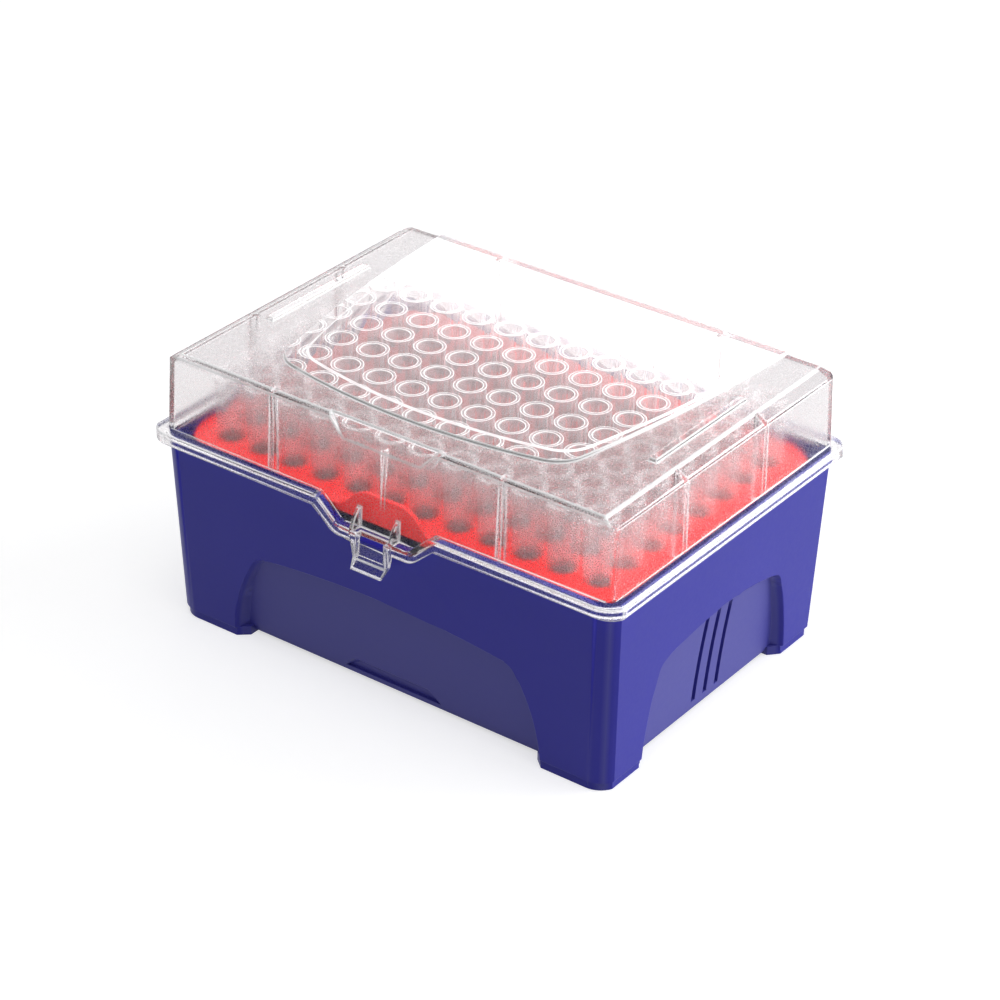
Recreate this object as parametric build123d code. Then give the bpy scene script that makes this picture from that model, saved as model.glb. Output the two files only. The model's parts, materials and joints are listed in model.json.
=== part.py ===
from build123d import *
from collections import namedtuple
from itertools import product
from math import atan, hypot, radians, sin, tan
import os

# A hinged box of pipette tips: a blue base, a red perforated deck that drops into it, 96 clear tips
# standing in the deck, and a clear lid on two pin hinges with a latch tab at the front.
# Millimetres. +X runs along the long side, -Y is the latch side, +Y the hinge side, +Z is up.
# z = 0 is under the feet and x = y = 0 is the middle of the case.

# ---- Driving dimensions ----------------------------------------------------------------------
# Tip lattice and tips
pitch = 9.0
columns = 12
rows = 8
lattice_y = -0.5
rim_diameter = 7.4
mouth_diameter = 5.7
collar_diameter = 6.4
throat_diameter = 4.2
shank_diameter = 5.0
point_diameter = 0.9
orifice_diameter = 0.45
collar_height = 15.5
throat_rise = 1.5
shank_length = 34.5

# Deck, the perforated plate that carries the tips
deck_top = 45.2
deck_thickness = 1.6
deck_margin_x = 9.7
deck_margin_y = 10.4
deck_corner = 13.0
hole_diameter = 5.2
deck_skirt_depth = 3.0
deck_skirt_wall = 1.2
tab_height = 5.3
tab_half_top = 6.9
tab_half_bottom = 11.5
tab_shoulder_round = 7.0
tab_foot_round = 3.0
tab_wall = 1.2
tab_gap = 0.65

# Base
deck_gap = 0.3
seat_corner = 5.0
rim_wall = 1.25
rim_above_deck = 1.75
base_wall = 1.8
floor_thickness = 2.0
base_draft_x = 1.9
base_draft_y = 2.4
base_corner = 5.8
corner_sweep = 65.0
rib_width = 1.5
rib_depth = 2.2
rib_steps_x = (-5, -3, 3, 5)
rib_steps_y = (-2, 2)
foot_height = 2.2
foot_inset = 0.6
foot_chamfer_length = 2.4
foot_chamfer_depth = 2.1
plinth_height = 1.2
plinth_inset = 0.3
plinth_wall = 2.0

# Arched recesses in the four sides of the base, open at the bottom
front_arch_margin = 17.0
front_arch_lean = 7.6
front_arch_crown = 24.0
front_arch_shoulder = 21.5
front_arch_bulge = 2.2
front_arch_depth_top = 1.6
front_arch_depth_bottom = 3.6
side_arch_margin = 13.5
side_arch_lean = 5.0
side_arch_crown = 24.9
side_arch_shoulder = 21.8
side_arch_bulge = 1.2
side_arch_depth_top = 1.8
side_arch_depth_bottom = 2.9
arch_round = 3.5
arch_flare = 0.45
pocket_half_bottom = 13.6
pocket_half_top = 10.4
pocket_height = 5.4
pocket_depth = 1.0
pocket_round = 1.2
groove_width = 1.5
groove_depth = 1.0
groove_pitch = 4.5
groove_count = 3
groove_lean = 2.2
groove_bow = 0.5
groove_foot = 3.7

# Dip of the rim and ledge at the latch
dip_depth = 5.2
dip_half_top = 15.2
dip_half_bottom = 9.5
dip_crest_round = 2.4
dip_trough_round = 2.0
dip_gap = 0.3

# Catch on the base
catch_half = 3.45
catch_reach = 1.35
catch_top_fall = 0.3
catch_nose = 0.3
catch_under_fall = 1.0

# Lid
ledge_thickness = 1.4
ledge_width = 2.8
lid_skirt_height = 2.75
lid_skirt_wall = 1.15
lid_skirt_gap = 0.75
flange_corner = 5.2
lid_wall = 1.2
lid_height = 18.65
lid_corner = 1.6
lid_draft_x = 0.9
lid_draft_y = 2.9
roof_bevel_run = 3.4
roof_bevel_drop = 1.95
brow_bevel = 0.9
panel_rise = 0.7
panel_margin_back = 8.6
panel_margin_front = 18.0
panel_margin_brow = 11.2
panel_side_bulge = 1.75
panel_front_bulge = 5.0
panel_corner = 8.0
panel_under_side = 2.2
panel_under_end = 5.5
panel_under_depth = 0.5
grip_bar_margin = 4.9
grip_bar_y = 0.2
grip_bar_width = 2.0
grip_bar_length = 34.3
grip_bar_rise = 0.9
thumb_half_top = 14.5
thumb_half_bottom = 10.3
thumb_height = 4.7
thumb_depth = 1.4
lid_rib_width = 1.0
lid_rib_lift = 0.3
front_rib_x = 30.5
front_rib_depth = 2.4
side_rib_y = 15.2
side_rib_depth = 3.0
mid_rib_depth = 1.4
mid_rib_lift = 2.6

# Latch tab, moulded on the front of the lid
latch_gap = 0.3
latch_wall = 0.9
latch_rail = 1.8
latch_half_top = 5.6
latch_half_bottom = 4.1
latch_length = 8.1
latch_flare = 1.7
latch_flare_height = 2.1
window_side_gap = 0.3
window_drop = 2.4
latch_panel_drop = 5.0
latch_panel_wall = 0.5
fin_width = 0.9
fin_height = 4.7
fin_root = 3.0
fin_tip = 0.5
fin_bow = 0.7

# Hinge at the back
hinge_x = 30.0
hinge_overhang = 0.45
hinge_drop = 0.3
barrel_radius = 1.9
barrel_width = 10.0
barrel_side_gap = 0.3
hinge_pin_radius = 1.2
hinge_pin_fit = 0.05
ear_width = 2.5

# ---- Sizes worked out from them ---------------------------------------------------------------
lattice_half_x = pitch * (columns - 1) / 2
lattice_half_y = pitch * (rows - 1) / 2
deck_half_x = lattice_half_x + deck_margin_x
deck_half_y = lattice_half_y + deck_margin_y
deck_under = deck_top - deck_thickness

body_bottom = foot_height
floor_top = body_bottom + floor_thickness
rim_top = deck_top + rim_above_deck
seat_half_x = deck_half_x + deck_gap
seat_half_y = deck_half_y + deck_gap
base_top_x = seat_half_x + rim_wall
base_top_y = seat_half_y + rim_wall
base_bottom_x = base_top_x - (rim_top - body_bottom) * tan(radians(base_draft_x))
base_bottom_y = base_top_y - (rim_top - body_bottom) * tan(radians(base_draft_y))
front_arch_half = base_bottom_x - front_arch_margin
side_arch_half = base_bottom_y - side_arch_margin
rib_inner_x = base_top_x - base_wall - rib_depth
rib_inner_y = base_top_y - base_wall - rib_depth

ledge_top = rim_top + ledge_thickness
skirt_inner_x = base_top_x + lid_skirt_gap
skirt_inner_y = base_top_y + lid_skirt_gap
flange_half_x = skirt_inner_x + lid_skirt_wall
flange_half_y = skirt_inner_y + lid_skirt_wall
lid_half_x = flange_half_x - ledge_width
lid_half_y = flange_half_y - ledge_width
roof_top = ledge_top + lid_height
roof_half_x = lid_half_x - (lid_height - roof_bevel_drop) * tan(radians(lid_draft_x)) - roof_bevel_run
roof_half_y = lid_half_y - (lid_height - brow_bevel) * tan(radians(lid_draft_y)) - brow_bevel
deck_front = lid_half_y - lid_wall - tab_gap
reach = 2 * flange_half_x

dip_turn = atan(dip_depth / (dip_half_top - dip_half_bottom))
dip_rim = rim_top - dip_depth - dip_gap
dip_ledge = ledge_top - dip_depth
catch_front = base_top_y + catch_reach
latch_back = catch_front + latch_gap
latch_front = latch_back + latch_wall
latch_bottom = dip_ledge - latch_length
window_half = catch_half + window_side_gap

hinge_y = flange_half_y + hinge_overhang
hinge_z = ledge_top - lid_skirt_height - hinge_drop - barrel_radius
barrel_half = barrel_width / 2
hinge_centres = (-hinge_x, hinge_x)


# ---- Shared shapes ----------------------------------------------------------------------------
def places(count, spacing):
    """Positions of count things along one axis, evenly spaced about zero."""
    return [spacing * (i - (count - 1) / 2) for i in range(count)]


def plan(half_x, half_y, radius, z):
    """Outline of the case: corner arcs leave the long sides smoothly and meet the short ones at a crease."""
    centre_x = half_x - radius * sin(radians(corner_sweep))
    centre_y = half_y - radius
    arcs = [
        CenterArc((centre_x, -centre_y), radius, -90, corner_sweep),
        CenterArc((centre_x, centre_y), radius, 90 - corner_sweep, corner_sweep),
        CenterArc((-centre_x, centre_y), radius, 90, corner_sweep),
        CenterArc((-centre_x, -centre_y), radius, 270 - corner_sweep, corner_sweep),
    ]
    sides = [Line(arc @ 1, following @ 0) for arc, following in zip(arcs, arcs[1:] + arcs[:1])]
    return Pos(0, 0, z) * make_face(arcs + sides)


def slab(half_x, half_y, radius, bottom, top):
    """Straight block with the case outline."""
    return extrude(plan(half_x, half_y, radius, bottom), amount=top - bottom)


def base_half(top_half, z, draft):
    """Half width of the drafted base wall at a height."""
    return top_half - (rim_top - z) * tan(radians(draft))


def base_block(inset, bottom, top):
    """Drafted block of the base, its walls moved in by inset."""
    sections = [
        plan(
            base_half(base_top_x, z, base_draft_x) - inset,
            base_half(base_top_y, z, base_draft_y) - inset,
            base_corner - inset,
            z,
        )
        for z in (bottom, top)
    ]
    return loft(sections, ruled=True)


def cuboid(x0, x1, y0, y1, z0, z1):
    """Box between two corners."""
    return Pos((x0 + x1) / 2, (y0 + y1) / 2, (z0 + z1) / 2) * Box(x1 - x0, y1 - y0, z1 - z0)


def below_ledge(drop, side_gap=0.0):
    """All that lies under the ledge line lowered by drop, square to the line; the line dips at the front.

    side_gap moves the dip alone outward, so that a wall under it keeps clear of the dip."""
    under = drop + side_gap
    crest = dip_half_top + drop * tan(dip_turn / 2) + side_gap / sin(dip_turn)
    trough = dip_half_bottom + under * tan(dip_turn / 2)
    crest_z = ledge_top - drop
    trough_z = dip_ledge - under
    crest_round = max(dip_crest_round - drop, ledge_thickness / 4)
    trough_round = dip_trough_round + under
    line = FilletPolyline(
        (-reach, crest_z),
        (-crest, crest_z),
        (-trough, trough_z),
        (trough, trough_z),
        (crest, crest_z),
        (reach, crest_z),
        radius=[crest_round, trough_round, trough_round, crest_round],
    )
    floor = Polyline(line @ 1, (reach, 0), (-reach, 0), line @ 0)
    front = extrude(Plane.XZ * make_face([line, floor]), amount=reach)
    return front + cuboid(-reach, reach, 0, reach, 0, crest_z)


# ---- Deck and tips ----------------------------------------------------------------------------
def make_deck():
    """Perforated plate with a locating skirt below, open at the front, and a finger tab above its edge."""
    plate = Pos(0, 0, deck_under) * extrude(
        RectangleRounded(2 * deck_half_x, 2 * deck_half_y, deck_corner), amount=deck_thickness
    )
    plate -= cuboid(-dip_half_top, dip_half_top, -reach, -deck_front, deck_under, deck_top)

    skirt_x = rib_inner_x - deck_gap
    skirt_y = rib_inner_y - deck_gap
    skirt_round = deck_corner - (deck_half_x - skirt_x)
    inner_x = skirt_x - deck_skirt_wall
    inner_y = skirt_y - deck_skirt_wall
    ring = RectangleRounded(2 * skirt_x, 2 * skirt_y, skirt_round)
    ring -= RectangleRounded(2 * inner_x, 2 * inner_y, skirt_round - deck_skirt_wall)
    skirt = Pos(0, 0, deck_under) * extrude(ring, amount=-deck_skirt_depth)
    skirt -= cuboid(-dip_half_top, dip_half_top, -reach, 0, 0, deck_under)

    tab_reach = tab_half_bottom + tab_foot_round
    outline = FilletPolyline(
        (-tab_reach, deck_under),
        (-tab_reach, deck_top),
        (-tab_half_bottom, deck_top),
        (-tab_half_top, deck_top + tab_height),
        (tab_half_top, deck_top + tab_height),
        (tab_half_bottom, deck_top),
        (tab_reach, deck_top),
        (tab_reach, deck_under),
        radius=[0, tab_foot_round, tab_shoulder_round, tab_shoulder_round, tab_foot_round, 0],
    )
    foot = Line(outline @ 1, outline @ 0)
    tab = Pos(0, tab_wall - deck_front, 0) * extrude(Plane.XZ * make_face([outline, foot]), amount=tab_wall)

    holes = GridLocations(pitch, pitch, columns, rows) * Cylinder(hole_diameter / 2, 4 * deck_thickness)
    return plate + skirt + tab - Pos(0, lattice_y, deck_top) * Compound(holes)


def make_tip():
    """One pipette tip turned about Z, its shoulder at z = 0 where it rests on the deck."""
    outer = Polyline(
        (orifice_diameter / 2, -shank_length),
        (point_diameter / 2, -shank_length),
        (shank_diameter / 2, 0),
        (collar_diameter / 2, 0),
        (rim_diameter / 2, collar_height),
        (mouth_diameter / 2, collar_height),
        (throat_diameter / 2, throat_rise),
        (orifice_diameter / 2, -shank_length),
    )
    return revolve(Plane.XZ * make_face(outer), Axis.Z)


# ---- Base -------------------------------------------------------------------------------------
Arch = namedtuple(
    "Arch",
    "wall_half draft half_bottom half_shoulder crown shoulder bulge depth_bottom depth_top",
)

front_arch = Arch(
    base_top_y,
    base_draft_y,
    front_arch_half,
    front_arch_half - front_arch_lean,
    front_arch_crown,
    front_arch_shoulder,
    front_arch_bulge,
    front_arch_depth_bottom,
    front_arch_depth_top,
)
side_arch = Arch(
    base_top_x,
    base_draft_x,
    side_arch_half,
    side_arch_half - side_arch_lean,
    side_arch_crown,
    side_arch_shoulder,
    side_arch_bulge,
    side_arch_depth_bottom,
    side_arch_depth_top,
)


def arch_plane(arch, depth_bottom, depth_top):
    """Plane along X in the front wall, sunk by two depths; its x runs along the wall and its y goes up."""
    bottom = base_half(arch.wall_half, body_bottom, arch.draft) - depth_bottom
    top = base_half(arch.wall_half, body_bottom + arch.crown, arch.draft) - depth_top
    up = Vector(0, bottom - top, arch.crown)
    along = Vector(1, 0, 0)
    return Plane(origin=(0, -bottom, body_bottom), x_dir=along, z_dir=along.cross(up))


def arch_outline(arch, inset_bottom, inset_top):
    """Arch outline moved in by two insets, with round shoulders and a foot that runs on below the body."""
    corner_x = arch.half_shoulder - inset_top
    corner_y = arch.shoulder - inset_top
    heel_x = arch.half_bottom - inset_bottom
    heel_y = -2 * foot_height
    top = ThreePointArc((corner_x, corner_y), (0, arch.crown - inset_top), (-corner_x, corner_y))
    left = SagittaArc((-corner_x, corner_y), (-heel_x, heel_y), -arch.bulge)
    heel = Line((-heel_x, heel_y), (heel_x, heel_y))
    right = SagittaArc((heel_x, heel_y), (corner_x, corner_y), -arch.bulge)
    face = make_face([top, left, heel, right])
    return fillet(face.vertices().sort_by(Axis.Y)[-2:], arch_round)


def recess(arch, sink=0.0, spread=0.0):
    """Recess in the front wall with flared sides; sink moves its panel in, spread widens it all round."""
    proud = foot_height
    wide = arch_flare * proud + spread
    outside = arch_plane(arch, -proud, -proud) * arch_outline(arch, -wide, -wide)
    panel = arch_plane(arch, arch.depth_bottom + sink, arch.depth_top + sink)
    inset_bottom = arch_flare * arch.depth_bottom - spread
    inset_top = arch_flare * arch.depth_top - spread
    return loft([outside, panel * arch_outline(arch, inset_bottom, inset_top)], ruled=True)


def around(front, side):
    """A front shape and a side shape, each repeated on the opposite wall of the base."""
    return [Rot(0, 0, 0) * front, Rot(0, 0, 180) * front, Rot(0, 0, 90) * side, Rot(0, 0, -90) * side]


def pocket_outline(inset):
    """Low trapezoid at the foot of the front recess panel."""
    height = pocket_height - body_bottom - inset
    outline = FilletPolyline(
        (pocket_half_bottom - inset, 0),
        (pocket_half_top - inset, height),
        (inset - pocket_half_top, height),
        (inset - pocket_half_bottom, 0),
        (inset - pocket_half_bottom, -foot_height),
        (pocket_half_bottom - inset, -foot_height),
        radius=[0, pocket_round, pocket_round, 0, 0, 0],
        close=True,
    )
    return make_face(outline)


def make_pocket():
    """Shallow pocket sunk into the front recess panel, its sides sloping in."""
    sections = []
    for sink in (-pocket_depth, pocket_depth):
        plane = arch_plane(front_arch, front_arch.depth_bottom + sink, front_arch.depth_top + sink)
        sections.append(plane * pocket_outline(sink))
    return loft(sections, ruled=True)


def make_grooves():
    """Leaning, slightly bowed grooves in the side recess panel, ending at the arch."""
    plane = arch_plane(side_arch, side_arch.depth_bottom, side_arch.depth_top)
    cutters = []
    for x in places(groove_count, groove_pitch):
        foot = Vector(x, groove_foot - body_bottom)
        head = Vector(x + groove_lean, side_arch.crown)
        half = Vector(groove_width / 2, 0)
        left = SagittaArc(foot - half, head - half, groove_bow)
        right = SagittaArc(foot + half, head + half, groove_bow)
        ends = [Line(foot - half, foot + half), Line(head - half, head + half)]
        cutters.append(extrude(plane * make_face([left, right] + ends), amount=groove_depth, both=True))
    return Compound(cutters) & recess(side_arch, groove_depth)


def make_foot(side_x, side_y):
    """Corner pad under the base, set in from the walls; its inner ends meet the arches and are chamfered."""
    outer_x = base_bottom_x - foot_inset
    outer_y = base_bottom_y - foot_inset
    inner_x = front_arch_half - foot_chamfer_length
    inner_y = side_arch_half - foot_chamfer_length
    points = [
        (inner_x, inner_y),
        (inner_x, outer_y - foot_chamfer_depth),
        (front_arch_half, outer_y),
        (front_arch_half, reach),
        (reach, reach),
        (reach, side_arch_half),
        (outer_x, side_arch_half),
        (outer_x - foot_chamfer_depth, inner_y),
    ]
    corner = make_face(Polyline([(side_x * x, side_y * y) for x, y in points], close=True))
    column = extrude(corner, amount=body_bottom, dir=(0, 0, 1))
    return column & slab(outer_x, outer_y, base_corner - foot_inset, 0, body_bottom)


def make_plinth():
    """Low wall under the body, following the recesses, with the four feet."""
    outer_x = base_bottom_x - foot_inset
    outer_y = base_bottom_y - foot_inset
    low = body_bottom - plinth_height
    plinth = slab(outer_x, outer_y, base_corner - foot_inset, low, body_bottom)
    for cutter in around(recess(front_arch, plinth_inset), recess(side_arch, plinth_inset)):
        plinth -= cutter
    hollow_x = base_bottom_x - side_arch.depth_bottom - plinth_inset - plinth_wall
    hollow_y = base_bottom_y - front_arch.depth_bottom - plinth_inset - plinth_wall
    plinth -= cuboid(-hollow_x, hollow_x, -hollow_y, hollow_y, 0, body_bottom)
    for side_x, side_y in product((-1, 1), (-1, 1)):
        plinth += make_foot(side_x, side_y)
    return plinth


def make_base_ribs():
    """Upright ribs on the inside of the walls, which carry the deck."""
    ribs = []
    half = rib_width / 2
    for step, side in product(rib_steps_x, (-1, 1)):
        x = step * pitch
        near, far = sorted((side * rib_inner_y, side * base_top_y))
        ribs.append(cuboid(x - half, x + half, near, far, floor_top, deck_under))
    for step, side in product(rib_steps_y, (-1, 1)):
        y = step * pitch
        near, far = sorted((side * rib_inner_x, side * base_top_x))
        ribs.append(cuboid(near, far, y - half, y + half, floor_top, deck_under))
    return ribs


def make_catch():
    """Nose below the dip, over which the latch tab's window drops."""
    root = base_top_y - rim_wall / 2
    nose_top = dip_rim - catch_top_fall
    nose_bottom = nose_top - catch_nose
    profile = Polyline(
        (-root, dip_rim),
        (-catch_front, nose_top),
        (-catch_front, nose_bottom),
        (-root, nose_bottom - catch_under_fall),
        close=True,
    )
    return Pos(-catch_half, 0, 0) * extrude(Plane.YZ * make_face(profile), amount=2 * catch_half)


def make_ears():
    """Two pairs of drilled ears on the back wall, one pair for each hinge barrel of the lid."""
    root = base_top_y - rim_wall / 2
    low = hinge_z - barrel_radius
    profile = make_face(
        Polyline(
            (root, hinge_z + barrel_radius),
            (hinge_y, hinge_z + barrel_radius),
            (hinge_y, low),
            (root, low - (hinge_y - root)),
            close=True,
        )
    )
    profile += Pos(hinge_y, hinge_z) * Circle(barrel_radius)
    profile -= Pos(hinge_y, hinge_z) * Circle(hinge_pin_radius + hinge_pin_fit)
    ear = extrude(Plane.YZ * profile, amount=ear_width)
    ears = []
    for centre in hinge_centres:
        ears.append(Pos(centre + barrel_half, 0, 0) * ear)
        ears.append(Pos(centre - barrel_half - ear_width, 0, 0) * ear)
    return ears


def make_base():
    """Thin-walled drafted box with recessed sides, a seat for the deck, feet, a catch and hinge ears."""
    cavity = base_block(base_wall, floor_top, deck_under)
    for bulge in around(recess(front_arch, base_wall, base_wall), recess(side_arch, base_wall, base_wall)):
        cavity -= bulge
    for rib in make_base_ribs():
        cavity -= rib
    seat_face = RectangleRounded(2 * seat_half_x, 2 * seat_half_y, seat_corner)
    seat = Pos(0, 0, deck_under) * extrude(seat_face, amount=rim_top)

    base = base_block(0, body_bottom, rim_top) - cavity - seat
    for cutter in around(recess(front_arch), recess(side_arch)):
        base -= cutter
    for cutter in around(make_pocket(), make_grooves()):
        base -= cutter
    base &= below_ledge(ledge_thickness, dip_gap)

    base += make_plinth()
    base += make_catch()
    for ear in make_ears():
        base += ear
    return base


# ---- Lid --------------------------------------------------------------------------------------
def lid_half(half, z, draft):
    """Half width of the drafted lid wall at a height."""
    return half - (z - ledge_top) * tan(radians(draft))


def above_slope(low, high, inset):
    """Triangle above the line from low to high, the line moved down and in by inset; x is outward."""
    run = low[0] - high[0]
    rise = high[1] - low[1]
    length = hypot(run, rise)
    shift = Vector(-rise, -run) * (inset / length)
    along = Vector(-run, rise)
    start = Vector(low) + shift - along
    end = Vector(high) + shift + along
    return make_face(Polyline(start, end, Vector(start.X, end.Y), close=True))


def side_bevel(inset):
    """What the long bevel along the left or right edge of the roof takes off, for the +X side."""
    low_z = roof_top - roof_bevel_drop
    low_x = lid_half(lid_half_x, low_z, lid_draft_x)
    face = above_slope((low_x, low_z), (low_x - roof_bevel_run, roof_top), inset)
    return extrude(Plane.XZ * face, amount=reach, both=True)


def brow(inset):
    """What the small bevel along the back edge of the roof takes off."""
    low_z = roof_top - brow_bevel
    low_y = lid_half(lid_half_y, low_z, lid_draft_y)
    face = above_slope((low_y, low_z), (low_y - brow_bevel, roof_top), inset)
    return extrude(Plane.YZ * face, amount=reach, both=True)


def thumb_notch(inset):
    """Sloping thumb facet in the front edge of the roof."""
    low_z = roof_top - thumb_height
    low_y = lid_half(lid_half_y, low_z, lid_draft_y)
    high_y = lid_half(lid_half_y, roof_top, lid_draft_y) - thumb_depth
    wedge = above_slope((low_y, low_z), (high_y, roof_top), inset)
    slope = extrude(Plane.YZ * wedge, amount=reach, both=True)
    front = Polyline(
        (-thumb_half_bottom - inset, low_z - inset),
        (thumb_half_bottom + inset, low_z - inset),
        (thumb_half_top + inset, roof_top),
        (thumb_half_top + inset, roof_top + thumb_height),
        (-thumb_half_top - inset, roof_top + thumb_height),
        (-thumb_half_top - inset, roof_top),
        close=True,
    )
    return mirror(slope, Plane.XZ) & extrude(Plane.XZ * make_face(front), amount=reach)


def dome(inset):
    """Drafted upper part of the lid as a block, its walls, roof and bevels moved in by inset."""
    bottom = dip_ledge - lid_skirt_height
    top = roof_top - inset
    corner = max(lid_corner - inset, lid_corner / 2)
    sections = []
    for z in (bottom, top):
        half_x = lid_half(lid_half_x, z, lid_draft_x) - inset
        half_y = lid_half(lid_half_y, z, lid_draft_y) - inset
        sections.append(Pos(0, 0, z) * RectangleRounded(2 * half_x, 2 * half_y, corner))
    block = loft(sections, ruled=True)
    for cutter in (side_bevel(inset), brow(inset)):
        block -= cutter
        block -= Rot(0, 0, 180) * cutter
    return block - thumb_notch(inset)


def make_lid_ribs():
    """Stiffening ribs inside the walls: full-height ones, and a tapered one behind the thumb notch."""
    half = lid_rib_width / 2
    low = deck_top + lid_rib_lift
    inner_x = lid_half_x - lid_wall - side_rib_depth
    inner_y = lid_half_y - lid_wall - front_rib_depth
    ribs = []
    for x in (-front_rib_x, front_rib_x):
        ribs.append(cuboid(x - half, x + half, -reach, -inner_y, low, roof_top))
        ribs.append(cuboid(x - half, x + half, inner_y, reach, ledge_top, roof_top))
    for y in (-side_rib_y, side_rib_y):
        ribs.append(cuboid(inner_x, reach, y - half, y + half, low, roof_top))
        ribs.append(cuboid(-reach, -inner_x, y - half, y + half, low, roof_top))

    mid_low = deck_top + mid_rib_lift
    mid_top = roof_top - thumb_height
    wall_low = lid_half(lid_half_y, mid_low, lid_draft_y) - lid_wall
    wall_top = lid_half(lid_half_y, mid_top, lid_draft_y) - lid_wall
    profile = Polyline(
        (-reach, mid_low),
        (-wall_low, mid_low),
        (mid_rib_depth - wall_top, mid_top),
        (-reach, mid_top),
        close=True,
    )
    ribs.append(Pos(-half, 0, 0) * extrude(Plane.YZ * make_face(profile), amount=lid_rib_width))
    return ribs


def panel_outline(side=0.0, end=0.0):
    """Raised field of the roof: bowed sides that spread to the back and a bowed front.

    side and end move its sides and its two ends in."""
    back = roof_half_y - end
    back_x = roof_half_x - panel_margin_back - side
    front_x = roof_half_x - panel_margin_front - side
    front_y = panel_margin_brow + end - roof_half_y
    rear = Line((back_x, back), (-back_x, back))
    left = SagittaArc((-back_x, back), (-front_x, front_y), -panel_side_bulge)
    front = SagittaArc((-front_x, front_y), (front_x, front_y), -panel_front_bulge)
    right = SagittaArc((front_x, front_y), (back_x, back), -panel_side_bulge)
    face = make_face([rear, left, front, right])
    return fillet(face.vertices().sort_by(Axis.Y)[:2], panel_corner)


def make_latch():
    """Latch tab in front of the catch: a thinned panel between deep rails, a flared lip, two fins above."""
    lip_top = latch_bottom + latch_flare_height
    lip_front = latch_front + latch_flare
    rail_back = latch_front - latch_rail
    side = Polyline(
        (-latch_front, dip_ledge),
        (-latch_front, lip_top),
        (-lip_front, latch_bottom),
        (latch_wall - lip_front, latch_bottom),
        (-rail_back, lip_top),
        (-rail_back, dip_ledge),
        close=True,
    )
    behind = Polyline(
        (-latch_back, dip_ledge),
        (-latch_back, lip_top - latch_wall / 2),
        (latch_wall - lip_front, latch_bottom),
        (0, latch_bottom),
        (0, dip_ledge),
        close=True,
    )
    front = Polyline(
        (-latch_half_top, dip_ledge),
        (latch_half_top, dip_ledge),
        (latch_half_bottom, latch_bottom),
        (-latch_half_bottom, latch_bottom),
        close=True,
    )
    bar = extrude(Plane.YZ * make_face(side), amount=latch_half_top, both=True)
    bar &= extrude(Plane.XZ * make_face(front), amount=reach)
    bar -= extrude(Plane.YZ * make_face(behind), amount=window_half, both=True)
    panel_bottom = dip_ledge - latch_panel_drop
    bar -= cuboid(
        -window_half, window_half, -reach, -latch_back - latch_panel_wall, panel_bottom, dip_ledge
    )

    fins = []
    fin_low = dip_ledge - ledge_thickness / 2
    fin_high = dip_ledge + fin_height
    wall_low = lid_half(lid_half_y, fin_low, lid_draft_y)
    wall_high = lid_half(lid_half_y, fin_high, lid_draft_y)
    edge = SagittaArc((-wall_low - fin_root, fin_low), (-wall_high - fin_tip, fin_high), fin_bow)
    rest = Polyline(
        edge @ 1,
        (lid_wall / 2 - wall_high, fin_high),
        (lid_wall / 2 - wall_low, fin_low),
        edge @ 0,
    )
    fin = extrude(Plane.YZ * make_face([edge, rest]), amount=fin_width)
    for x in (-latch_half_top, latch_half_top - fin_width):
        fins.append(Pos(x, 0, 0) * fin)
    return [bar] + fins


def make_hinge_barrels():
    """Barrels under the back of the flange, each with a web to the skirt and a pin out of both ends."""
    half = barrel_half - barrel_side_gap
    skirt_bottom = ledge_top - lid_skirt_height
    pieces = []
    for centre in hinge_centres:
        axis = Pos(centre, hinge_y, hinge_z) * Rot(0, 90, 0)
        pieces.append(axis * Cylinder(barrel_radius, 2 * half))
        pieces.append(axis * Cylinder(hinge_pin_radius, 2 * (barrel_half + ear_width)))
        web = cuboid(centre - half, centre + half, skirt_inner_y, flange_half_y, hinge_z, skirt_bottom)
        pieces.append(web)
    return pieces


def make_lid():
    """Clear lid: drafted walls and bevelled roof over a stepped flange, with a latch and hinge barrels."""
    hollow = slab(skirt_inner_x, skirt_inner_y, base_corner + lid_skirt_gap, 0, ledge_top)
    hollow &= below_ledge(ledge_thickness)
    hollow += dome(lid_wall)
    for rib in make_lid_ribs():
        hollow -= rib & dome(lid_wall)

    flange = slab(flange_half_x, flange_half_y, flange_corner, 0, ledge_top)
    flange &= below_ledge(0) - below_ledge(lid_skirt_height)
    lid = dome(0) + flange - hollow

    lid += Pos(0, 0, roof_top) * extrude(panel_outline(), amount=panel_rise)
    ceiling = Pos(0, 0, roof_top - lid_wall)
    under = panel_outline(panel_under_side, panel_under_end)
    lid -= ceiling * extrude(under, amount=panel_under_depth)
    half_bar = grip_bar_width / 2
    bar_x = roof_half_x - grip_bar_margin
    for x in (-bar_x, bar_x):
        lid += cuboid(
            x - half_bar,
            x + half_bar,
            grip_bar_y - grip_bar_length / 2,
            grip_bar_y + grip_bar_length / 2,
            roof_top,
            roof_top + grip_bar_rise,
        )

    for piece in make_latch():
        lid += piece
    lid -= cuboid(-window_half, window_half, -reach, -skirt_inner_y, dip_ledge - window_drop, dip_ledge)
    lid -= cuboid(-window_half, window_half, -latch_back, -skirt_inner_y, 0, dip_ledge)
    for piece in make_hinge_barrels():
        lid += piece
    return lid


# ---- Write one STEP file for each piece -------------------------------------------------------
os.makedirs("parts", exist_ok=True)


def save(shape, name):
    """Label a piece and write it."""
    shape.label = name
    export_step(shape, f"parts/{name}.step")


save(make_base(), "base")
save(make_deck(), "tip_plate")
save(make_lid(), "lid")
tip = make_tip()
for number, x in enumerate(places(columns, pitch), 1):
    column = [Pos(x, lattice_y + y, deck_top) * tip for y in places(rows, pitch)]
    save(Compound(children=column), f"tips_column_{number:02d}")
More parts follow.
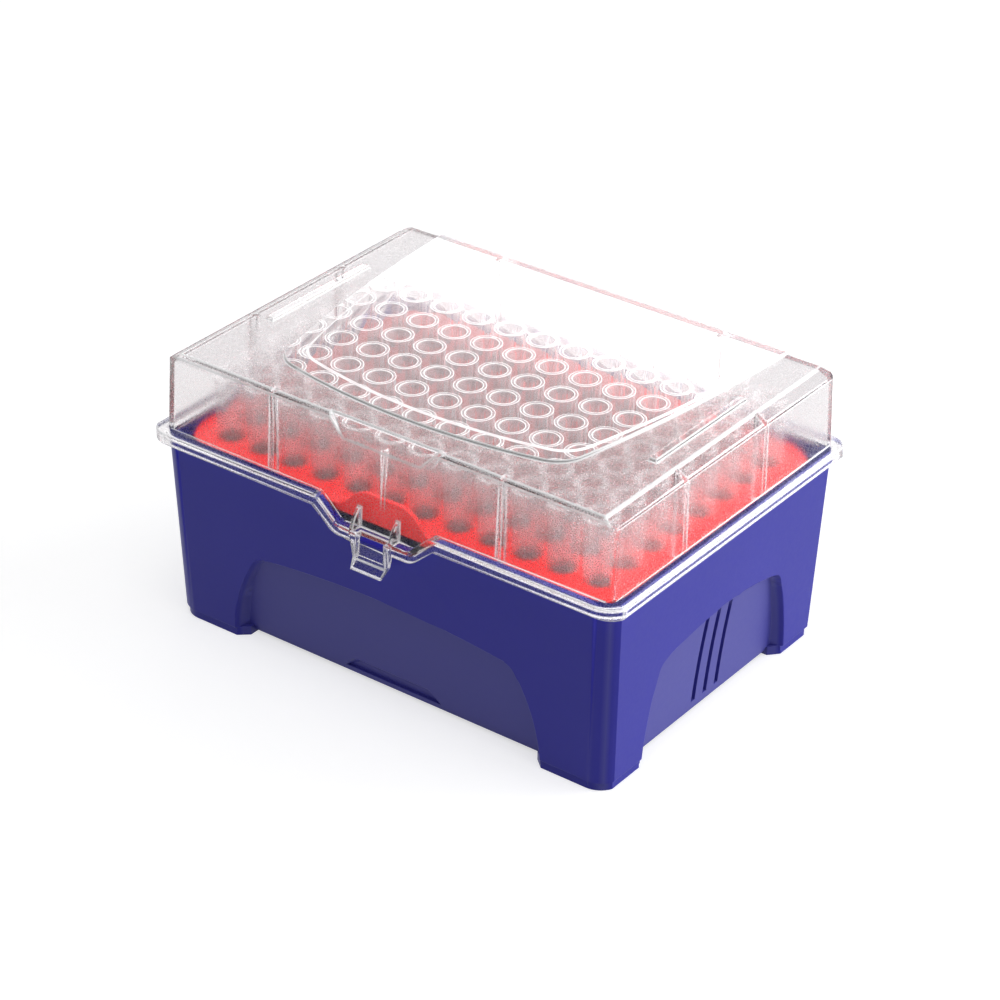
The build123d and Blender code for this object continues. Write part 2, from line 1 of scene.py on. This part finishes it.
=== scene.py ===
# %% [markdown]
# # A box of pipette tips
#
# The box is four things: a blue base on four feet, a red deck with holes, 96 clear tips that stand in
# the deck, and a clear lid on two hinges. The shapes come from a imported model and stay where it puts
# them. This lesson gives them their look: a satin blue, a glowing red, and clear plastic that is
# polished in some places and blasted to a soft frost in others.

# %% Load the model
import json
from functools import partial
from math import cos, radians, sin

import bmesh
import bpy
from mathutils import Matrix, Vector

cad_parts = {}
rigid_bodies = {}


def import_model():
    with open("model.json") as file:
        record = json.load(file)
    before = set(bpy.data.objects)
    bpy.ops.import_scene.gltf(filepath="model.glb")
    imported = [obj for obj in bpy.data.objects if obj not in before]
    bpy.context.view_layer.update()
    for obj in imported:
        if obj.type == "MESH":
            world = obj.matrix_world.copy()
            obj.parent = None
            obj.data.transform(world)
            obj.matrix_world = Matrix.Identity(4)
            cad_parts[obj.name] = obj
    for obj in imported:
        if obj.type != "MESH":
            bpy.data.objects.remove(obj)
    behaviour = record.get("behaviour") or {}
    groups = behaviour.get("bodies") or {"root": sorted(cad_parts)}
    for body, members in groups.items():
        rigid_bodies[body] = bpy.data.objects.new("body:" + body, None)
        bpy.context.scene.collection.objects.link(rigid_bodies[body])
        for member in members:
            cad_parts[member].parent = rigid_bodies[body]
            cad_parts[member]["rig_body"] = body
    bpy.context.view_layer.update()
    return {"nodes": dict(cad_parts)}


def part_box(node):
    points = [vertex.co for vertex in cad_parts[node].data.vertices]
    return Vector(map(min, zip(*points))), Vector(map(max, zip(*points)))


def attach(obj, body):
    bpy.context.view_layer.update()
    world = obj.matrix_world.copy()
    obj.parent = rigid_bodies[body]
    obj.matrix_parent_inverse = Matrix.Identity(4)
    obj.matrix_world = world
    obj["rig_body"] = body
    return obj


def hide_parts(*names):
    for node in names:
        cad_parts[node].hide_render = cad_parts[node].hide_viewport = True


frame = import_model()
nodes = frame["nodes"]
tip_nodes = sorted(name for name in nodes if name.startswith("tips_column"))
print("nodes:", len(nodes), "of which columns of tips:", len(tip_nodes))

# %% [markdown]
# ## The camera
#
# A product picture of a box is taken from above one corner with a long lens, so that the edges stay
# nearly parallel. The camera is placed by its angle round the box and above the table, at a distance
# from the middle of the tips, and moved a little in its own plane to centre the box in the frame.

# %% Place the camera
MM = 0.001
camera_azimuth = radians(36.04)
camera_elevation = radians(30.30)
camera_roll = radians(1.07)
camera_distance = 706.1 * MM
camera_right = 0.48 * MM
camera_up = -11.48 * MM
sensor_width = 36.0
lens_ratio = 3.204

tips_low, tips_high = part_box(tip_nodes[0])
tip_collar_height = 15.5 * MM
deck_top = tips_high.z - tip_collar_height
rows_middle = (tips_low.y + tips_high.y) / 2


def camera_axes(azimuth, elevation, roll):
    """Right, up and back directions of a camera that looks at the origin from these angles."""
    back = Vector((sin(azimuth) * cos(elevation), -cos(azimuth) * cos(elevation), sin(elevation)))
    level = Vector((cos(azimuth), sin(azimuth), 0.0))
    upright = back.cross(level)
    right = cos(roll) * level + sin(roll) * upright
    return right, back.cross(right), back


right, up, back = camera_axes(camera_azimuth, camera_elevation, camera_roll)
camera_data = bpy.data.cameras.new("camera")
camera_data.sensor_width = sensor_width
camera_data.lens = sensor_width * lens_ratio
camera = bpy.data.objects.new("camera", camera_data)
bpy.context.scene.collection.objects.link(camera)
aim = Vector((0, rows_middle, deck_top))
place = aim + camera_distance * back + camera_right * right + camera_up * up
turn = Matrix((right, up, back)).transposed().to_4x4()
camera.matrix_world = Matrix.Translation(place) @ turn
bpy.context.scene.camera = camera
print("deck top", round(deck_top / MM, 2), "mm; camera at", [round(v, 3) for v in place])

# %% [markdown]
# ## Nodes in a few words
#
# A material is a net of small steps: a noise, a sum, a ramp, a mix of two colours. Most helpers of this
# lesson add one step to a net and return its result, so that a material reads like a formula. A net is
# passed on as its nodes and the function that links them.

# %% Node helpers
scene = bpy.context.scene
scene.view_settings.view_transform = "Standard"


def new_tree(owner):
    """Empties the nodes of a material, world or light. Returns them and a function that links."""
    owner.use_nodes = True
    tree = owner.node_tree
    tree.nodes.clear()

    def link(source, target):
        tree.links.new(source, target)

    return tree.nodes, link


def add(tree_nodes, kind, **inputs):
    """Adds a node and sets its unlinked inputs by name, where an underscore stands for a space."""
    node = tree_nodes.new(kind)
    for name, value in inputs.items():
        node.inputs[name.replace("_", " ")].default_value = value
    return node


def compute(tree_nodes, link, operation, *values):
    """A Math node on values that are numbers or sockets."""
    node = tree_nodes.new("ShaderNodeMath")
    node.operation = operation
    for socket, value in zip(node.inputs, values):
        if isinstance(value, (int, float)):
            socket.default_value = value
        else:
            link(value, socket)
    return node.outputs[0]


def seen_by_eye(tree_nodes, link):
    """1 for camera, glossy and transmission rays, and 0 for the rays that light dull surfaces."""
    rays = tree_nodes.new("ShaderNodeLightPath").outputs
    total = rays["Is Camera Ray"]
    for name in ("Is Glossy Ray", "Is Transmission Ray"):
        total = compute(tree_nodes, link, "MAXIMUM", total, rays[name])
    return total


# %% [markdown]
# ## Light and table
#
# Clear plastic shows only what it reflects and bends, so it wants a white room. The world gives a soft
# even light to dull surfaces, and shows as white to the camera, in reflections and through the plastic.
# Four soft boxes add shape: one at the right, one overhead, whose light falls between the upright tips
# to the deck, a low one behind at the right, and a wide one far behind, which the polished lid mirrors.
# The table is a pale plane, which keeps the shadow of the box. It glows to the eye alone, so that it
# looks as white as the room while its glow doesn't light the box from below.

# %% The white room
white = (1, 1, 1, 1)
room_light = 0.30
room_white = 1.0

world = bpy.data.worlds.new("white_room")
scene.world = world
w_nodes, w_link = new_tree(world)
ambient = add(w_nodes, "ShaderNodeBackground", Strength=room_light, Color=white)
backdrop = add(w_nodes, "ShaderNodeBackground", Strength=room_white, Color=white)
choose = w_nodes.new("ShaderNodeMixShader")
w_link(seen_by_eye(w_nodes, w_link), choose.inputs[0])
w_link(ambient.outputs[0], choose.inputs[1])
w_link(backdrop.outputs[0], choose.inputs[2])
w_link(choose.outputs[0], w_nodes.new("ShaderNodeOutputWorld").inputs[0])
print("world light", room_light, "and backdrop", room_white)

# %% The table
table_half = 3.0
table_colour = (0.55, 0.55, 0.55, 1)
table_glow = 0.62

table_mesh = bpy.data.meshes.new("table")
corners = [(-table_half, -table_half, 0), (table_half, -table_half, 0)]
corners += [(table_half, table_half, 0), (-table_half, table_half, 0)]
table_mesh.from_pydata(corners, [], [(0, 1, 2, 3)])
table = bpy.data.objects.new("table", table_mesh)
scene.collection.objects.link(table)

table_material = bpy.data.materials.new("pale_table")
t_nodes, t_link = new_tree(table_material)
matt = add(t_nodes, "ShaderNodeBsdfDiffuse", Color=table_colour)
glow = add(t_nodes, "ShaderNodeEmission", Color=white)
seen = seen_by_eye(t_nodes, t_link)
t_link(compute(t_nodes, t_link, "MULTIPLY", seen, table_glow), glow.inputs["Strength"])
both = t_nodes.new("ShaderNodeAddShader")
t_link(matt.outputs[0], both.inputs[0])
t_link(glow.outputs[0], both.inputs[1])
t_link(both.outputs[0], t_nodes.new("ShaderNodeOutputMaterial").inputs["Surface"])
table_mesh.materials.append(table_material)
print("table", 2 * table_half, "m wide, glow", table_glow)

# %% Soft box helpers
def soft_box(name, place, outward, width, height, power):
    """An area light at a place, its back turned to the outward direction and its long side level."""
    light = bpy.data.lights.new(name, "AREA")
    light.shape = "RECTANGLE"
    light.size = width
    light.size_y = height
    light.energy = power
    lamp = bpy.data.objects.new(name, light)
    lamp.rotation_euler = outward.to_track_quat("Z", "Y").to_euler()
    lamp.location = place
    scene.collection.objects.link(lamp)
    print("light", name, "at", [round(v, 2) for v in lamp.location])
    return lamp


def fade_upward(lamp, start):
    """Makes an area light fade out towards its top edge, from the share start of its height."""
    n_nodes, link = new_tree(lamp.data)
    split = n_nodes.new("ShaderNodeSeparateXYZ")
    link(n_nodes.new("ShaderNodeNewGeometry").outputs["Parametric"], split.inputs[0])
    fade = add(n_nodes, "ShaderNodeMapRange", From_Min=1.0, From_Max=start)
    fade.interpolation_type = "SMOOTHSTEP"
    link(split.outputs["Y"], fade.inputs["Value"])
    shine = n_nodes.new("ShaderNodeEmission")
    link(fade.outputs["Result"], shine.inputs["Strength"])
    link(shine.outputs[0], n_nodes.new("ShaderNodeOutputLight").inputs["Surface"])


def toward(azimuth, elevation):
    """Unit vector from the box at an azimuth from +X and an elevation, in degrees."""
    level = cos(radians(elevation))
    return Vector(
        (level * cos(radians(azimuth)), level * sin(radians(azimuth)), sin(radians(elevation)))
    )


# %% The soft boxes
# Each is a name, azimuth and elevation in degrees, distance, width and height in metres, and watts.
soft_boxes = [
    ("right_box", 25, 30, 1.6, 1.0, 1.0, 6.5),
    ("top_box", -50, 78, 1.5, 1.0, 1.0, 9.0),
    ("low_box", 50, 13, 1.4, 0.9, 0.4, 16.0),
]
for name, azimuth, elevation, distance, width, height, power in soft_boxes:
    way = toward(azimuth, elevation)
    soft_box(name, distance * way, way, width, height, power)

far_across, far_distance, far_top = -1.45, 2.0, 1.36
far_width, far_height, far_power = 1.8, 0.16, 5.0
far_fade = 0.45
far_place = Vector((far_across, far_distance, far_top - far_height / 2))
far_box = soft_box("far_box", far_place, Vector((0, 1, 0)), far_width, far_height, far_power)
fade_upward(far_box, far_fade)

# %% [markdown]
# ## Rounded edges
#
# No moulded edge is knife sharp, and the thin bright line along it is what makes plastic look real.
# The model has true edges, so each shell is a merged copy of its node, its flat triangles joined to
# whole faces and small hollow-sided ones split into plain ones. A Bevel modifier rounds the edges that
# are given a weight: those that turn sharply, and long ones that turn less, between two faces wide
# enough to carry a round. Other corners are marked sharp. A Weld modifier joins the ends of rounds
# that meet in one point, and a Weighted Normal modifier keeps the large faces flat in the light.

# %% Rounded copies
merge_distance = 0.002 * MM
weld_distance = 0.01 * MM
flat_angle = radians(0.6)
smooth_angle = radians(12)
edge_angle = radians(28)
long_edge = 15 * MM
most_corners = 16
round_segments = 2


def face_width(face):
    """Area of a face over its longest edge, which is the width of a strip."""
    return face.calc_area() / max(edge.calc_length() for edge in face.edges)


def sort_edges(bm, least):
    """Weights the edges to be rounded and marks other corners sharp. Returns how many are rounded."""
    weight = bm.edges.layers.float.new("bevel_weight_edge")
    wide = {face: face_width(face) > least for face in bm.faces}
    count = 0
    for edge in bm.edges:
        turn = edge.calc_face_angle(0.0)
        is_edge = turn > edge_angle or (turn > smooth_angle and edge.calc_length() > long_edge)
        if is_edge and all(wide[face] for face in edge.link_faces):
            edge[weight] = 1.0
            count += 1
        elif turn > smooth_angle:
            edge.smooth = False
    return count


def rounded(node_name, name, width, least, edge_slot=-1):
    """A copy of a node with the edges between faces wider than least rounded. It stands for the node.

    edge_slot is the material slot of the rounds, or -1 to take after the faces beside them."""
    mesh = bpy.data.meshes.new(name)
    bm = bmesh.new()
    bm.from_mesh(nodes[node_name].data)
    bmesh.ops.remove_doubles(bm, verts=bm.verts, dist=merge_distance)
    bmesh.ops.dissolve_limit(bm, angle_limit=flat_angle, verts=bm.verts, edges=bm.edges)
    simple = [face for face in bm.faces if len(face.verts) <= most_corners]
    bmesh.ops.connect_verts_concave(bm, faces=simple)
    for face in bm.faces:
        face.smooth = True
    round_edges = sort_edges(bm, least)
    bm.to_mesh(mesh)
    bm.free()
    piece = bpy.data.objects.new(name, mesh)
    scene.collection.objects.link(piece)
    bevel = piece.modifiers.new("round_edges", "BEVEL")
    bevel.width = width
    bevel.segments = round_segments
    bevel.limit_method = "WEIGHT"
    bevel.use_clamp_overlap = False
    bevel.material = edge_slot
    weld = piece.modifiers.new("join_round_ends", "WELD")
    weld.merge_threshold = weld_distance
    flatten = piece.modifiers.new("flat_in_the_light", "WEIGHTED_NORMAL")
    flatten.keep_sharp = True
    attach(piece, nodes[node_name]["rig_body"])
    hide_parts(node_name)
    print(name, "has", len(mesh.polygons), "faces and", round_edges, "edges to round")
    return piece


# %% [markdown]
# ## Blue base
#
# Moulded polypropylene is satin: light sinks in a little and the gloss is soft. A spark-eroded mould
# leaves a very fine grain, which bump gives, and the colour wanders by a few percent where the plastic
# flowed. Noise on object coordinates does both, each at its own scale. The recessed panels get a paler
# colour, which is painted light. They are found by their depth behind the four walls, which are planes.

# %% Ramps, mixed colours, noise and bump
mix_first, mix_second, mix_result = 6, 7, 2  # the colour sockets of a Mix node


def ramp(tree_nodes, link, value, low, high, start=0.0, end=1.0):
    """A straight ramp from start at low to end at high, held beyond them."""
    node = tree_nodes.new("ShaderNodeMapRange")
    for name, number in (("From Min", low), ("From Max", high), ("To Min", start), ("To Max", end)):
        node.inputs[name].default_value = number
    link(value, node.inputs["Value"])
    return node.outputs["Result"]


def blend(tree_nodes, link, share, first, second):
    """Mixes two colours, each three numbers or a socket, by a share from 0 to 1."""
    node = tree_nodes.new("ShaderNodeMix")
    node.data_type = "RGBA"
    link(share, node.inputs[0])
    for slot, colour in ((mix_first, first), (mix_second, second)):
        if isinstance(colour, tuple):
            node.inputs[slot].default_value = (*colour, 1)
        else:
            link(colour, node.inputs[slot])
    return node.outputs[mix_result]


def noise(tree_nodes, link, where, scale, detail=2.0, roughness=0.6):
    """Soft noise from 0 to 1 at a place, its scale in grains per metre."""
    node = add(tree_nodes, "ShaderNodeTexNoise", Scale=scale, Detail=detail, Roughness=roughness)
    link(where, node.inputs["Vector"])
    return node.outputs["Fac"]


def bump(tree_nodes, link, height, strength, depth):
    """Normals that make heights from 0 to 1 look like relief of a depth in metres."""
    node = add(tree_nodes, "ShaderNodeBump", Strength=strength, Distance=depth)
    link(height, node.inputs["Height"])
    return node.outputs["Normal"]


# %% Depth behind planes
def beyond_planes(tree_nodes, link, place, planes):
    """How far a place is outside the nearest of several planes, x and y folded to their positive sides.

    Each plane is a point and a normal; inside all of them the value is negative."""
    folded = tree_nodes.new("ShaderNodeVectorMath")
    folded.operation = "ABSOLUTE"
    link(place, folded.inputs[0])
    farthest = None
    for point, normal in planes:
        along = tree_nodes.new("ShaderNodeVectorMath")
        along.operation = "DOT_PRODUCT"
        link(folded.outputs[0], along.inputs[0])
        along.inputs[1].default_value = normal
        level = Vector(point).dot(Vector(normal))
        away = compute(tree_nodes, link, "SUBTRACT", along.outputs["Value"], level)
        if farthest is not None:
            away = compute(tree_nodes, link, "MAXIMUM", farthest, away)
        farthest = away
    return farthest


# %% Satin plastic
flow_scale, flow_detail, flow_roughness = 35.0, 3.0, 0.5
fine_scale, grain_scale = 900.0, 2600.0
grain_strength, grain_depth = 0.15, 0.05 * MM
roughness_spread = 0.05
panel_depth = 0.75 * MM


def satin(name, colour, shade, roughness, specular, sunk_panel_light=None, planes=()):
    """Satin moulded plastic: two near colours mixed by large soft noise, roughness noise and grain.

    The colour given for deep panels, if any, is painted light: a paler colour on panels that lie
    deeper than panel_depth behind all of the planes."""
    material = bpy.data.materials.new(name)
    tree = new_tree(material)
    m_nodes, link = tree
    where = m_nodes.new("ShaderNodeTexCoord").outputs["Object"]
    flow = noise(*tree, where, flow_scale, flow_detail, flow_roughness)
    paint = blend(*tree, flow, shade, colour)
    # Painted light: panels deep behind the walls are mixed to a paler colour.
    if sunk_panel_light:
        behind = beyond_planes(*tree, where, planes)
        lit_panels = ramp(*tree, behind, -panel_depth, -2 * panel_depth)
        paint = blend(*tree, lit_panels, paint, sunk_panel_light)
    low, high = roughness - roughness_spread, roughness + roughness_spread
    dull = ramp(*tree, noise(*tree, where, fine_scale), 0.0, 1.0, low, high)
    grain = bump(*tree, noise(*tree, where, grain_scale), grain_strength, grain_depth)
    shader = add(m_nodes, "ShaderNodeBsdfPrincipled", Specular_IOR_Level=specular)
    link(paint, shader.inputs["Base Color"])
    link(dull, shader.inputs["Roughness"])
    link(grain, shader.inputs["Normal"])
    link(shader.outputs[0], m_nodes.new("ShaderNodeOutputMaterial").inputs["Surface"])
    return material


def dress(thing, material):
    """Gives a node or piece one material in all its slots."""
    thing.data.materials.clear()
    thing.data.materials.append(material)
    print(thing.name, "is", material.name)


# %% Dress the base
rim_top = 46.95 * MM
rim_half = (60.75 * MM, 43.45 * MM)
base_draft = (radians(1.9), radians(2.4))
base_walls = [
    ((rim_half[0], 0, rim_top), (cos(base_draft[0]), 0, -sin(base_draft[0]))),
    ((0, rim_half[1], rim_top), (0, cos(base_draft[1]), -sin(base_draft[1]))),
]
base_plastic = satin(
    "base_plastic",
    colour=(0.016, 0.015, 0.32),
    shade=(0.012, 0.011, 0.28),
    roughness=0.42,
    specular=0.3,
    # Paler colour of the recessed panels, painted light.
    sunk_panel_light=(0.054, 0.053, 0.31),
    planes=base_walls,
)
base_shell = rounded("base", "base_shell", width=0.25 * MM, least=1.2 * MM)
dress(base_shell, base_plastic)

# %% [markdown]
# ## Red deck
#
# The deck is the same satin plastic in a red that is nearly pure, so it takes the same material with
# other numbers. It has narrow webs between the holes, so its rounds are smaller than the base's and
# narrower faces carry them.

# %% Dress the deck
deck_plastic = satin(
    "deck_plastic",
    colour=(0.95, 0.034, 0.034),
    shade=(0.90, 0.026, 0.028),
    roughness=0.40,
    specular=0.5,
)
deck_shell = rounded("tip_plate", "deck_shell", width=0.20 * MM, least=0.6 * MM)
dress(deck_shell, deck_plastic)

# %% [markdown]
# ## Clear plastic
#
# Clear parts are solids with two faces, so a true glass shader bends light at both, and the thickness
# shows in the edges. Bent light reaches what is inside only by luck in a path tracer, so rays that look
# for a lamp go straight through, a little dimmed. A lower index than the real one keeps the edges from
# going black, because a ray that is bent less is trapped less often.

# %% Clear shader
def clear_plastic(name, colour, index, shadow):
    """Glass that lets lamp rays pass. Returns the material, its nodes and linker, and the shader."""
    material = bpy.data.materials.new(name)
    tree = new_tree(material)
    m_nodes, link = tree
    shader = add(m_nodes, "ShaderNodeBsdfPrincipled", IOR=index, Transmission_Weight=1.0)
    shader.inputs["Base Color"].default_value = (*colour, 1)
    through = m_nodes.new("ShaderNodeBsdfTransparent")
    through.inputs["Color"].default_value = (shadow, shadow, shadow, 1)
    path = m_nodes.new("ShaderNodeLightPath")
    mix = m_nodes.new("ShaderNodeMixShader")
    link(path.outputs["Is Shadow Ray"], mix.inputs[0])
    link(shader.outputs[0], mix.inputs[1])
    link(through.outputs[0], mix.inputs[2])
    link(mix.outputs[0], m_nodes.new("ShaderNodeOutputMaterial").inputs["Surface"])
    return material, tree, shader


# %% [markdown]
# ## Lid
#
# The outside of the walls and of the roof is frosted, and the raised field is polished. The frosted
# skin is whatever lies outside four planes set from the shape of the lid, pushed in by a part of the
# wall's thickness. Under the roof it is taken thinner, so that the hollow below the field stays clear.
# Frost is a rough surface with shallow pits, both broken up by a fine noise, and a darker tint that is
# painted shade, darker still on the roof.

# %% Where the lid is frosted
ledge_top = 48.35 * MM
roof_top = 67.0 * MM
wall_half = (59.85 * MM, 42.55 * MM)
wall_draft = (radians(0.9), radians(2.9))
shell = 1.2 * MM
wall_skin, roof_skin = 0.8 * shell, 0.5 * shell
skin_change = (0.85 * MM, 0.80 * MM)
skin_blur = 0.05 * MM
field_step = (0.15 * MM, 0.05 * MM)
bevel_run, bevel_drop = 3.4 * MM, 1.95 * MM
clear_index, clear_shadow = 1.24, 0.98
clear_tint = (0.985, 0.985, 0.99)

lid_plastic, l_tree, lid_shader = clear_plastic("lid_clear", clear_tint, clear_index, clear_shadow)
l_nodes, l_link = l_tree
where = l_nodes.new("ShaderNodeTexCoord").outputs["Object"]
side_half = wall_half[0] - (roof_top - ledge_top) * sin(wall_draft[0])
bevel_normal = Vector((bevel_drop, 0, bevel_run)).normalized()
lid_planes = [
    ((wall_half[0], 0, ledge_top), (cos(wall_draft[0]), 0, sin(wall_draft[0]))),
    ((0, wall_half[1], ledge_top), (0, cos(wall_draft[1]), sin(wall_draft[1]))),
    ((side_half, 0, roof_top - bevel_drop), bevel_normal),
    ((0, 0, roof_top), (0, 0, 1)),
]
split_height = l_nodes.new("ShaderNodeSeparateXYZ")
l_link(where, split_height.inputs[0])
lid_rise = split_height.outputs["Z"]
skin = beyond_planes(*l_tree, where, lid_planes)
change_low, change_high = (roof_top - depth for depth in skin_change)
skin_depth = ramp(*l_tree, lid_rise, change_low, change_high, wall_skin, roof_skin)
outer = ramp(*l_tree, compute(*l_tree, "ADD", skin, skin_depth), 0.0, skin_blur)
field_foot, field_foot_low = (roof_top + rise for rise in field_step)
below_field = ramp(*l_tree, lid_rise, field_foot, field_foot_low)
frosted = compute(*l_tree, "MULTIPLY", below_field, outer)
print("lid frosted outside", len(lid_planes), "planes, up to", round(field_foot / MM, 2), "mm")

# %% How rough the frost is, and its painted shade
polish, frost = 0.02, 0.30
# Both frost tints are painted shade: they darken the frosted walls, and the roof more.
frost_shade_tint, roof_shade_tint = (0.81, 0.79, 0.797), (0.66, 0.63, 0.64)
lid_specular = 0.3
blast_scale, blast_spread = 3200.0, 0.6
pit_strength, pit_depth = 0.14, 0.03 * MM
low_roof, roof_blur = roof_top - bevel_drop, 0.3 * MM

blast = ramp(*l_tree, noise(*l_tree, where, blast_scale), -blast_spread, blast_spread)
uneven = compute(*l_tree, "MULTIPLY", frosted, blast)
in_roof = ramp(*l_tree, lid_rise, low_roof, low_roof + roof_blur)
roof_shade_mask = compute(*l_tree, "MULTIPLY", frosted, in_roof)
# Painted shade: the frosted skin, and the frosted roof more, are tinted darker.
frost_shade_tints = blend(*l_tree, frosted, clear_tint, frost_shade_tint)
lid_shader.inputs["Specular IOR Level"].default_value = lid_specular
l_link(bump(*l_tree, uneven, pit_strength, pit_depth), lid_shader.inputs["Normal"])
l_link(ramp(*l_tree, uneven, 0.0, 1.0, polish, frost), lid_shader.inputs["Roughness"])
l_link(blend(*l_tree, roof_shade_mask, frost_shade_tints, roof_shade_tint), lid_shader.inputs["Base Color"])
print("lid roughness from", polish, "to", frost)

# %% [markdown]
# ## Rounds and raised field of the lid
#
# The rounds of the lid get a material of their own that is mostly pale and only a little clear, a
# painted highlight: the pale rounds stand for the bright lines that clear rounds show by reflection,
# where a thin round of glass shows a dark line. The top of the raised field gets a third, with a
# stronger mirror, so that the lamp far behind draws its soft band there.

# %% Dress the lid
rounds_slot, field_slot = 1, 2
# The pale tint and low transmission of the rounds are a painted highlight.
edge_highlight_tint, edge_index = (0.97, 0.97, 0.98), 1.2
edge_transmission, edge_roughness = 0.3, 0.25
field_specular = 1.0
field_height = roof_top + 0.65 * MM
field_upward = 0.9

lid_shell = rounded("lid", "lid_shell", width=0.30 * MM, least=0.45 * MM, edge_slot=rounds_slot)
dress(lid_shell, lid_plastic)

lid_highlight_edges, _, edge_shader = clear_plastic("lid_highlight_edges", edge_highlight_tint, edge_index, clear_shadow)
edge_shader.inputs["Transmission Weight"].default_value = edge_transmission
edge_shader.inputs["Roughness"].default_value = edge_roughness
lid_shell.data.materials.append(lid_highlight_edges)

lid_polished, _, polished = clear_plastic("lid_polished", clear_tint, clear_index, clear_shadow)
polished.inputs["Roughness"].default_value = polish
polished.inputs["Specular IOR Level"].default_value = field_specular
lid_shell.data.materials.append(lid_polished)
field_faces = 0
for face in lid_shell.data.polygons:
    if face.center.z > field_height and face.normal.z > field_upward:
        face.material_index = field_slot
        field_faces += 1
print("polished faces on the raised field:", field_faces)

# %% [markdown]
# ## Tips
#
# A look across the box passes through the walls of three or four tips, sixteen surfaces or so, more
# than a path tracer follows. So the outside of a tip lets most of the view straight through, by its
# alpha, and only the bore bends it. The outside turns pale where it is seen edge on, partly as thin
# polypropylene does and partly as a painted reflection. The rim at the top is a painted highlight,
# paler still, with a pale painted band inside the bore just below it and two fine painted highlight
# lines that border the rim. A distance from the nearest axis of the lattice tells bore from outside.

# %% Where a place is on a tip
pitch = 9.0 * MM
tips_top = tips_high.z
bore_low, bore_high = 2.65 * MM, 3.27 * MM
rim_top_band = 0.05 * MM
rim_band = 0.8 * MM
rim_inner, rim_outer = 2.85 * MM, 3.7 * MM
rim_line = 0.13 * MM
bore_tint, bore_index, bore_shadow = (0.96, 0.955, 0.96), 1.04, 0.985

tip_plastic, p_tree, tip_bore = clear_plastic("tip_clear", bore_tint, bore_index, bore_shadow)
p_nodes, p_link = p_tree
p_math = partial(compute, *p_tree)
p_ramp = partial(ramp, *p_tree)
tip_place = p_nodes.new("ShaderNodeTexCoord").outputs["Object"]
split_place = p_nodes.new("ShaderNodeSeparateXYZ")
p_link(tip_place, split_place.inputs[0])
rise = split_place.outputs["Z"]
from_axis = []
for axis, middle in (("X", 0.0), ("Y", rows_middle)):
    shifted = p_math("ADD", split_place.outputs[axis], pitch / 2 - middle)
    from_axis.append(p_math("WRAP", shifted, pitch / 2, -pitch / 2))
radius = p_math("SQRT", p_math("ADD", *[p_math("MULTIPLY", v, v) for v in from_axis]))
bore_radius = p_ramp(rise, deck_top, tips_top, bore_low, bore_high)
inside = p_math("LESS_THAN", radius, bore_radius)
is_bore = p_math("MULTIPLY", inside, p_math("LESS_THAN", rise, tips_top - rim_band))
# Painted highlights: the rim top, a band inside the bore just below it, and two lines at the rim's
# edges.
on_top = p_math("GREATER_THAN", rise, tips_top - rim_top_band)
near_rim = p_ramp(rise, tips_top - rim_band, tips_top - rim_top_band, 0.0, 1.0)
inner_highlight_band = p_math("MULTIPLY", near_rim, inside)
rim_highlight_lines = p_math(
    "MAXIMUM",
    p_math("GREATER_THAN", radius, rim_outer - rim_line),
    p_math("LESS_THAN", radius, rim_inner + rim_line),
)
print("lattice pitch", pitch / MM, "mm, bore up to", bore_high / MM, "mm in radius")

# %% How much a tip covers
# The arc and line covers and the pale rim tint paint highlights; the cover seen edge on is partly
# painted reflection.
skin_haze, edge_haze, arc_highlight_haze, ring_haze, line_highlight_haze = 0.18, 0.9, 0.45, 0.15, 0.9
facing_blend, facing_start = 0.35, 0.35
cloud_scale, cloud_roughness = 400.0, 0.5
cloud_low, cloud_high, cloud_spread = 0.3, 0.7, 0.15
tip_body, rim_highlight_tint = (0.72, 0.70, 0.71), (0.97, 0.97, 0.97)

edge_on = add(p_nodes, "ShaderNodeLayerWeight", Blend=facing_blend)
cloud = noise(*p_tree, tip_place, cloud_scale, roughness=cloud_roughness)
clouds = p_ramp(cloud, cloud_low, cloud_high, 1 - cloud_spread, 1 + cloud_spread)
thin_or_deep = p_ramp(edge_on.outputs["Facing"], facing_start, 1.0, skin_haze, edge_haze)
haze = p_math("MULTIPLY", thin_or_deep, clouds)
wall = p_math("MAXIMUM", haze, p_math("MULTIPLY", inner_highlight_band, arc_highlight_haze))
ring = p_ramp(rim_highlight_lines, 0.0, 1.0, ring_haze, line_highlight_haze)
cover = p_nodes.new("ShaderNodeMix")
p_link(on_top, cover.inputs["Factor"])
p_link(wall, cover.inputs["A"])
p_link(ring, cover.inputs["B"])
tint = blend(*p_tree, p_math("MAXIMUM", on_top, inner_highlight_band), tip_body, rim_highlight_tint)
print("tip cover from", skin_haze, "face on to", edge_haze, "edge on")

# %% Dress the tips
skin_index, skin_roughness = 1.49, 0.10
bore_roughness, bore_transmission = 0.03, 0.88

tip_skin = add(p_nodes, "ShaderNodeBsdfPrincipled", IOR=skin_index, Roughness=skin_roughness)
p_link(cover.outputs[0], tip_skin.inputs["Alpha"])
p_link(tint, tip_skin.inputs["Base Color"])
tip_bore.inputs["Roughness"].default_value = bore_roughness
tip_bore.inputs["Transmission Weight"].default_value = bore_transmission

skin_or_bore = p_nodes.new("ShaderNodeMixShader")
p_link(is_bore, skin_or_bore.inputs[0])
p_link(tip_skin.outputs[0], skin_or_bore.inputs[1])
p_link(tip_bore.outputs[0], skin_or_bore.inputs[2])
for found in list(tip_plastic.node_tree.links):
    if found.from_node == tip_bore and found.to_node != skin_or_bore:
        p_link(skin_or_bore.outputs[0], found.to_socket)
for name in tip_nodes:
    dress(nodes[name], tip_plastic)
